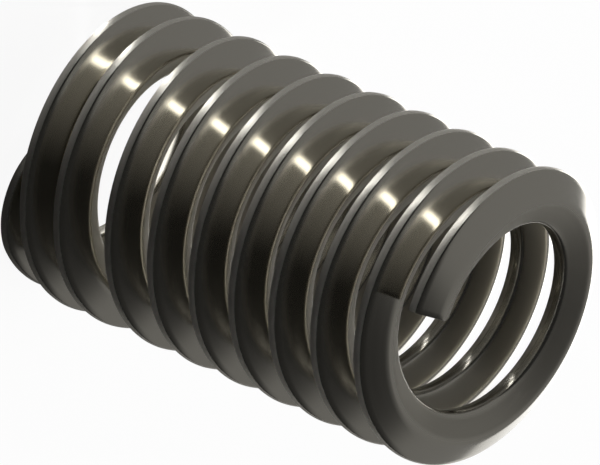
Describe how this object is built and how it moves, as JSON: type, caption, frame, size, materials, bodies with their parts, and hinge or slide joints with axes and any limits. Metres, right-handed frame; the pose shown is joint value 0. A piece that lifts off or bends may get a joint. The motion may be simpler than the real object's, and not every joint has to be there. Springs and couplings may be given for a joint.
{
  "type": "helical thread insert",
  "caption": "Free-running helical thread insert: a right-hand coil of rhombic stainless wire that lines a tapped hole, with a driving tang bent across its leading end.",
  "frame": {"origin": "on the coil's axis at the lowest point of the leading end, which it stands on", "axes": "+Z along the coil's axis towards the trailing end; +X passes through the wire where the part that closes in towards the tang meets the full coil"},
  "size_m": [0.0084, 0.0084, 0.0152],
  "materials": {
    "coil_wire": "bright drawn stainless steel wire, lightly streaked along its length"
  },
  "bodies": {
    "root": {"wire_coil": "coil_wire"}
  },
  "joints": []
}
